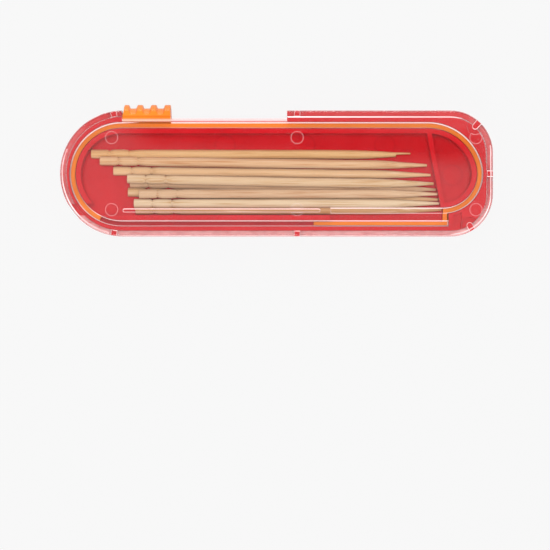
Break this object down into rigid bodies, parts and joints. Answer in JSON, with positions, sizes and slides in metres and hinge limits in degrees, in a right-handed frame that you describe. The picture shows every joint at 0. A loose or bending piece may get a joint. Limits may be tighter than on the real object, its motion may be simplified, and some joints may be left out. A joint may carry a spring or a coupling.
{
  "type": "toothpick dispenser",
  "caption": "Flat pocket toothpick dispenser: tray under a clear cover, with a sliding button and band that drive a toothpick out of one end.",
  "frame": {"origin": "middle of the case outline, on the flat back of the tray", "axes": "+X to the square end, +Y to the side with the button, +Z out of the clear cover"},
  "size_m": [0.09, 0.0276, 0.0076],
  "materials": {
    "tray_plastic": "glossy moulded red polystyrene",
    "cover_plastic": "clear moulded polystyrene",
    "slider_plastic": "satin orange polypropylene",
    "toothpick_wood": "smooth pale wood"
  },
  "bodies": {
    "case": {"base_tray": "tray_plastic", "band_top_run": "slider_plastic", "band_right_bend": "slider_plastic", "band_return_run": "slider_plastic", "band_tail_arc": "slider_plastic", "toothpick_1": "toothpick_wood", "toothpick_2": "toothpick_wood", "toothpick_3": "toothpick_wood", "toothpick_4": "toothpick_wood", "toothpick_5": "toothpick_wood", "toothpick_6": "toothpick_wood", "toothpick_7": "toothpick_wood", "toothpick_8": "toothpick_wood"},
    "slider": {"slider_button": "slider_plastic"},
    "pusher": {"pusher_block": "slider_plastic", "guide_strip": "slider_plastic"},
    "shutter": {"shutter_tip": "slider_plastic"},
    "next_pick": {"next_toothpick": "toothpick_wood"},
    "cover": {"clear_cover": "cover_plastic"}
  },
  "joints": [
    {"name": "slider_slide", "type": "slide", "parent": "case", "child": "slider", "axis": [1, 0, 0], "range_m": [0, 0.0235]},
    {"name": "pusher_slide", "type": "slide", "parent": "case", "child": "pusher", "axis": [-1, 0, 0], "range_m": [0, 0.0235], "deforming": ["band_return_run"]},
    {"name": "shutter_turn", "type": "hinge", "parent": "case", "child": "shutter", "pos_m": [-0.03222, -0.00013, 0.0026], "axis": [0, 0, -1], "range_deg": [0, 132], "deforming": ["band_tail_arc"]},
    {"name": "next_pick_slide", "type": "slide", "parent": "case", "child": "next_pick", "axis": [-1, 0, 0], "range_m": [0, 0.0235]},
    {"name": "cover_lift", "type": "slide", "parent": "case", "child": "cover", "axis": [0, 0, 1], "range_m": [0, 0.012]}
  ],
  "couplings": [
    {"joint": "pusher_slide", "follows": "slider_slide", "ratio": 1},
    {"joint": "shutter_turn", "follows": "slider_slide", "rad_per_m": 97.8},
    {"joint": "next_pick_slide", "follows": "slider_slide", "ratio": 1}
  ]
}
